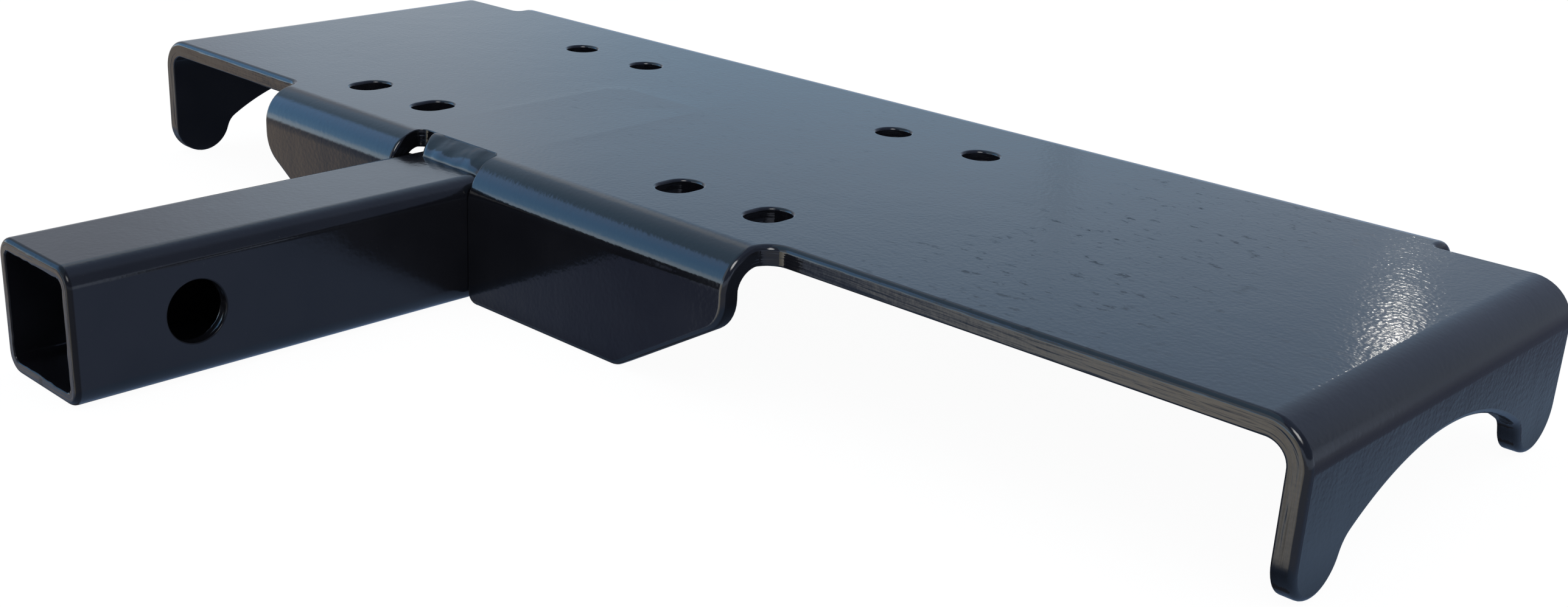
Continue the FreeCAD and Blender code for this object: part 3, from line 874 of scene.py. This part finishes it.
def coat_normal(nodes, place, facing, cut, peel, lumps):
    """Long waves, orange peel, streaks along the cut edges and, on a bead, lumps."""
    waves = nodes.noise(nodes.stretched(place, (1.0, 1.0, 0.35)), 110, 2, 0.5)
    normal = nodes.bump(waves, 0.00004)
    peel_depth = nodes.between(facing, 0.1, 0.8, 0.000016 * peel, 0.000028 * peel)
    normal = nodes.bump(nodes.noise(place, 900, 1.0, 0.4), peel_depth, normal)
    run = nodes.add("Attribute", attribute_name="edge_run").outputs["Fac"]
    down = nodes.add("Attribute", attribute_name="edge_depth").outputs["Fac"]
    on_edge = nodes.add("CombineXYZ", {0: nodes.product(run, 0.07), 1: down}).outputs[0]
    streaks = nodes.noise(on_edge, 0.9, 2, 0.5)
    normal = nodes.bump(nodes.product(streaks, cut), 0.00016, normal)
    if lumps:
        normal = nodes.bump(nodes.noise(place, 260, 2, 0.5), 0.00012 * lumps, normal)
    return normal


def coat_material(name, peel, roughness, scuffed=False, lumps=0.0, thin_edges=0.0):
    """Semi-gloss black powder coat: orange peel, dust, scuffs, and streaky cut edges."""
    material = bpy.data.materials.new(name)
    material.use_nodes = True
    nodes = Nodes(material.node_tree)
    place = nodes.add("TexCoord").outputs["Object"]
    cut = nodes.add("Attribute", attribute_name="cut_edge").outputs["Fac"]
    true_normal = nodes.add("NewGeometry").outputs["True Normal"]
    facing = nodes.math("ABSOLUTE", nodes.separate(true_normal)[2])
    gloss = nodes.between(nodes.noise(place, 90, 4, 0.6), 0.3, 0.75, roughness - 0.01, roughness + 0.02)
    shine = 0.5
    if scuffed:
        marks = scuff_marks(nodes, place, facing)
        gloss = nodes.math("MULTIPLY_ADD", marks, 0.18, gloss)
        shine = nodes.math("MULTIPLY_ADD", marks, -0.34, shine)
    rounded = nodes.window((cut, 0.05, 0.30), (cut, 0.995, 0.93))
    shine = nodes.product(nodes.math("MULTIPLY_ADD", rounded, -thin_edges, 1.0), shine)
    shader = nodes.add("BsdfPrincipled", {
        "Base Color": coat_colour(nodes, place), "Roughness": gloss, "IOR": 1.5, "Specular IOR Level": shine,
        "Normal": coat_normal(nodes, place, facing, cut, peel, lumps),
    })
    nodes.tree.links.new(shader.outputs[0], nodes.add("OutputMaterial").inputs[0])
    return material


plate_material = coat_material("plate_powder_coat", peel=1.0, roughness=0.09, scuffed=True)
tube_material = coat_material("tube_powder_coat", peel=0.9, roughness=0.14, thin_edges=0.65)
weld_material = coat_material("weld_powder_coat", peel=0.8, roughness=0.10, lumps=0.3)


def finish_piece(piece, node, material):
    """Coats a piece and puts it in the place of a CAD node, on the one body."""
    piece.data.materials.append(material)
    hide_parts(node)
    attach(piece, "root")
    return piece


# ---------------------------------------------------------------- the object

finish_piece(build_plate(), "deck_plate", plate_material)
finish_piece(build_tube(), "shank_tube", tube_material)
build_notch_bead()
build_side_beads()
build_rear_bead()
build_flange_beads()


# ---------------------------------------------------------------- floor, light and camera

TREES_FROM, TREES_TO = 28.0, 42.0


def aim(azimuth, elevation):
    """Unit vector towards a place in the surround, from degrees."""
    a, e = math.radians(azimuth), math.radians(elevation)
    return Vector((math.sin(a) * math.cos(e), math.cos(a) * math.cos(e), math.sin(e)))


def hazy_sky(nodes, azimuth, elevation):
    """The sky that the camera looks towards, which the deck and the bends reflect."""
    haze = nodes.ramp(elevation, 0, 90, [(0.0, (0.84, 0.91, 1.00)), (11.7, (0.73, 0.85, 0.99)),
                                         (20.7, (0.48, 0.67, 0.92)), (30.6, (0.49, 0.64, 0.86)),
                                         (45.0, (0.48, 0.64, 0.88)), (64.8, (0.29, 0.38, 0.60))])
    over_shank = nodes.window((azimuth, -47.0, -53.0), (elevation, 13.5, 15.5))
    haze = nodes.mix(over_shank, haze, (0.78, 0.90, 1.06))

    round_left = nodes.window((azimuth, -62.0, -106.0))
    low_left = nodes.mix(round_left, (0.56, 0.61, 0.71), (0.48, 0.57, 0.70))
    high_left = nodes.mix(round_left, (0.54, 0.73, 0.98), (0.43, 0.70, 1.00))
    left = nodes.mix(nodes.window((elevation, 24.0, 34.0)), low_left, high_left)
    haze = nodes.mix(nodes.window((azimuth, -56.0, -64.0)), haze, left)

    right = nodes.ramp(elevation, 0, 90, [(0.0, (0.34, 0.39, 0.49)), (27.0, (0.38, 0.46, 0.65)),
                                          (64.8, (0.29, 0.38, 0.60))])
    haze = nodes.mix(nodes.window((azimuth, -38.0, 8.0)), haze, right)
    over_back = nodes.window((azimuth, -54.0, -44.0), (azimuth, -23.0, -31.0), (elevation, 17.5, 12.3))
    return nodes.tint(over_back, haze, (0.69, 0.83, 0.93))


def blue_sky(nodes, azimuth, elevation):
    """The bright sky behind the camera, which the front bends and the beads reflect."""
    blue = nodes.ramp(elevation, 0, 90, [(0.0, (2.20, 2.70, 3.10)), (6.3, (1.90, 2.50, 3.10)),
                                         (11.7, (0.85, 1.65, 2.65)), (21.6, (0.66, 1.42, 2.45)),
                                         (27.0, (0.66, 1.38, 2.42)), (37.8, (0.80, 1.36, 2.30))])
    grey_right = nodes.window((azimuth, -139.0, -147.0), (elevation, 8.0, 16.0))
    return nodes.mix(grey_right, blue, (1.00, 1.15, 1.35))


def sky_colour(nodes, azimuth, elevation):
    """Both skies, with the blue line along the deck's back edge, a pole and dark trees on the right."""
    behind = nodes.window((azimuth, -90.0, -102.0), (elevation, 42.0, 37.0))
    sky = nodes.mix(behind, hazy_sky(nodes, azimuth, elevation), blue_sky(nodes, azimuth, elevation))
    low_blue = nodes.window((azimuth, -6.0, -16.0), (azimuth, -60.0, -52.0), (elevation, 8.5, 4.0))
    sky = nodes.mix(low_blue, sky, (0.42, 0.62, 0.94))
    off_pole = nodes.math("ABSOLUTE", nodes.math("ADD", azimuth, 32.9))
    pole = nodes.window((off_pole, 0.5, 0.2), (elevation, 19.0, 16.0, 0.0, 0.16))
    sky = nodes.mix(pole, sky, (0.05, 0.06, 0.08))
    trees = nodes.window((azimuth, TREES_FROM, TREES_TO), (elevation, 60.0, 40.0))
    return nodes.mix(trees, sky, (0.19, 0.24, 0.38))


def ground_colour(nodes, azimuth, elevation):
    """Sunlit ground behind the camera, dark patches in the object's shade and bluish ground elsewhere."""
    ground = nodes.ramp(azimuth, -180, 180, [
        (-172, (1.60, 1.50, 1.25)), (-153, (2.60, 2.42, 2.15)), (-147, (2.02, 2.05, 2.05)),
        (-141, (0.62, 0.72, 0.92)), (-136, (0.11, 0.13, 0.24)), (-130, (0.21, 0.26, 0.41)),
        (-126, (0.35, 0.40, 0.50)), (-121, (0.96, 0.80, 0.68)), (-113, (0.80, 0.76, 0.70)),
        (-90, (0.70, 0.66, 0.62)), (-30, (0.45, 0.47, 0.52)), (50, (0.24, 0.33, 0.52)),
        (66, (0.30, 0.38, 0.60)), (120, (0.45, 0.48, 0.58)),
    ])
    under_shank = nodes.window((azimuth, -119.5, -117.0), (azimuth, -60.0, -95.0), (elevation, -17.5, -22.0))
    ground = nodes.mix(under_shank, ground, (0.40, 0.46, 0.60))

    depth = nodes.math("SUBTRACT", 15.75, elevation)
    slant = nodes.math("MULTIPLY_ADD", azimuth, -0.657, depth)
    right = nodes.ramp(slant, 0, 90, [(0.0, (0.32, 0.37, 0.48)), (4.5, (0.25, 0.28, 0.37)),
                                      (12.6, (0.15, 0.17, 0.25)), (22.05, (0.13, 0.15, 0.22)),
                                      (24.75, (0.25, 0.35, 0.50)), (40.5, (0.25, 0.36, 0.53))])
    ground = nodes.mix(nodes.window((azimuth, -34.0, -6.0), (azimuth, 52.0, 38.0)), ground, right)
    ground = nodes.mix(nodes.window((elevation, -18.0, -40.0)), ground, (0.24, 0.36, 0.58))
    below_left = nodes.window((azimuth, -104.0, -92.0), (azimuth, -50.0, -62.0), (elevation, -13.0, -20.0))
    return nodes.mix(below_left, ground, (0.12, 0.13, 0.16))


def surround(nodes, direction):
    """Colour of the open-air surround in a direction: what the gloss of the coat reflects.

    Azimuth is in degrees from +Y towards +X and elevation in degrees above the ground's horizon.
    """
    x, y, z = nodes.separate(direction)
    degrees = math.degrees(1)
    elevation = nodes.product(nodes.math("ARCSINE", z), degrees)
    azimuth = nodes.product(nodes.math("ARCTAN2", x, y), degrees)
    sky = sky_colour(nodes, azimuth, elevation)
    ground = ground_colour(nodes, azimuth, elevation)
    everything = nodes.mix(nodes.window((elevation, -2.5, 2.5)), ground, sky)
    off_horizon = nodes.math("ABSOLUTE", nodes.math("ADD", elevation, 1.5))
    skyline = nodes.window((off_horizon, 9.0, 4.0), (azimuth, TREES_FROM, TREES_TO))
    everything = nodes.mix(skyline, everything, (0.75, 0.88, 1.15))
    towards_sun = nodes.vector("DOT_PRODUCT", direction, aim(136, 43)).outputs[1]
    sun = nodes.window((towards_sun, math.cos(math.radians(17)), math.cos(math.radians(4))))
    return nodes.mix(sun, everything, (9, 9, 9))


def distance_outside(nodes, position):
    """How far a point lies outside the plate's box, sideways, in metres; negative under the plate."""
    centre = (plate_low + plate_high) / 2 * MM
    reach = (plate_high - plate_low) / 2 * MM
    offset = nodes.vector("SUBTRACT", position, centre.tolist()).outputs[0]
    offset = nodes.vector("ABSOLUTE", offset).outputs[0]
    x, y = nodes.separate(nodes.vector("SUBTRACT", offset, reach.tolist()).outputs[0])[:2]
    return nodes.math("MAXIMUM", x, y)


def build_floor():
    """A pale floor that fades into the white studio, with only soft contact shadows.

    The coat's gloss sees it glowing with the surround's ground colour, darkened under and near the plate by
    painted shade.
    """
    half = 6.0
    level = cad_box[0].z - 0.00005
    corners = [(-half, -half, level), (half, -half, level), (half, half, level), (-half, half, level)]
    mesh = bpy.data.meshes.new("studio_floor")
    mesh.from_pydata(corners, [], [(0, 1, 2, 3)])
    floor = bpy.data.objects.new("studio_floor", mesh)
    bpy.context.scene.collection.objects.link(floor)
    material = bpy.data.materials.new("pale_floor")
    material.use_nodes = True
    nodes = Nodes(material.node_tree)
    grain = nodes.noise(nodes.add("TexCoord").outputs["Object"], 900, 2)
    matte = nodes.add("BsdfDiffuse", {"Color": nodes.mix(grain, (0.93, 0.93, 0.93), (0.96, 0.96, 0.96))})
    glow = nodes.add("Emission", {"Color": (1, 1, 1), "Strength": 1.03})
    seen = nodes.add("MixShader", {0: 0.07})
    nodes.tree.links.new(glow.outputs[0], seen.inputs[1])
    nodes.tree.links.new(matte.outputs[0], seen.inputs[2])

    point = nodes.add("NewGeometry").outputs
    ray = nodes.vector("MULTIPLY", point["Incoming"], (-1, -1, -1)).outputs[0]
    # Painted shade: to glossy rays the floor glows with the surround's colour, dimmed under and near the
    # plate's box in place of the shadow that the plate casts.
    shade = nodes.between(distance_outside(nodes, point["Position"]), -0.012, 0.010, 0.17, 1.0)
    reflected = nodes.add("Emission", {"Color": surround(nodes, ray), "Strength": shade})

    output = nodes.add("MixShader", {0: nodes.add("LightPath").outputs["Is Camera Ray"]})
    nodes.tree.links.new(reflected.outputs[0], output.inputs[1])
    nodes.tree.links.new(seen.outputs[0], output.inputs[2])
    nodes.tree.links.new(output.outputs[0], nodes.add("OutputMaterial").inputs[0])
    mesh.materials.append(material)
    floor.visible_diffuse = False
    floor.visible_shadow = False


def build_world():
    """White to the camera, soft and even on matt surfaces, and the open-air surround in reflections."""
    world = bpy.data.worlds.new("studio")
    bpy.context.scene.world = world
    world.use_nodes = True
    nodes = Nodes(world.node_tree)
    reflected = surround(nodes, nodes.add("TexCoord").outputs["Generated"])
    path = nodes.add("LightPath").outputs
    seen = nodes.mix(path["Is Glossy Ray"], (0.80, 0.84, 0.90), reflected)
    seen = nodes.mix(path["Is Camera Ray"], seen, (1, 1, 1))
    background = nodes.add("Background", {"Color": seen, "Strength": 1.0})
    nodes.tree.links.new(background.outputs[0], nodes.add("OutputWorld").inputs[0])


def build_lights():
    """A low warm light behind the deck's right end, which glitters on the peel, and a soft overhead one."""
    glint = bpy.data.lights.new("low_sun", "SUN")
    glint.energy = 0.0027
    glint.angle = math.radians(0.6)
    glint.color = (1.0, 0.95, 0.86)
    lamp = bpy.data.objects.new("low_sun", glint)
    lamp.rotation_euler = aim(-22.2, 19.7).to_track_quat("Z", "Y").to_euler()
    lamp.visible_diffuse = False
    bpy.context.scene.collection.objects.link(lamp)
    soft = bpy.data.lights.new("overhead_softbox", "AREA")
    soft.energy = 3.0
    soft.size = 1.6
    box = bpy.data.objects.new("overhead_softbox", soft)
    box.location = (0.1, 0.1, 1.4)
    box.visible_glossy = False
    bpy.context.scene.collection.objects.link(box)


def build_camera():
    """The viewpoint: low in front of the plate's right half, with a sideways lens shift."""
    place = (0.35361, -0.26356, 0.16025)
    yaw, pitch, roll = math.radians(44.967), math.radians(20.431), math.radians(-1.948)
    data = bpy.data.cameras.new("camera")
    data.sensor_fit = "HORIZONTAL"
    data.sensor_width = 36.0
    data.lens = 41.868
    data.shift_x = 0.06653
    data.clip_start = 0.01
    data.clip_end = 50
    camera = bpy.data.objects.new("camera", data)
    forward = aim(math.degrees(-yaw), math.degrees(-pitch))
    level = Vector((math.cos(yaw), math.sin(yaw), 0))
    upward = level.cross(forward)
    right = level * math.cos(roll) - upward * math.sin(roll)
    up = level * math.sin(roll) + upward * math.cos(roll)
    turn = Matrix((right, up, -forward)).transposed()
    camera.matrix_world = Matrix.Translation(place) @ turn.to_4x4()
    bpy.context.scene.collection.objects.link(camera)
    bpy.context.scene.camera = camera


build_floor()
build_world()
build_lights()
build_camera()
bpy.context.scene.view_settings.view_transform = "Standard"
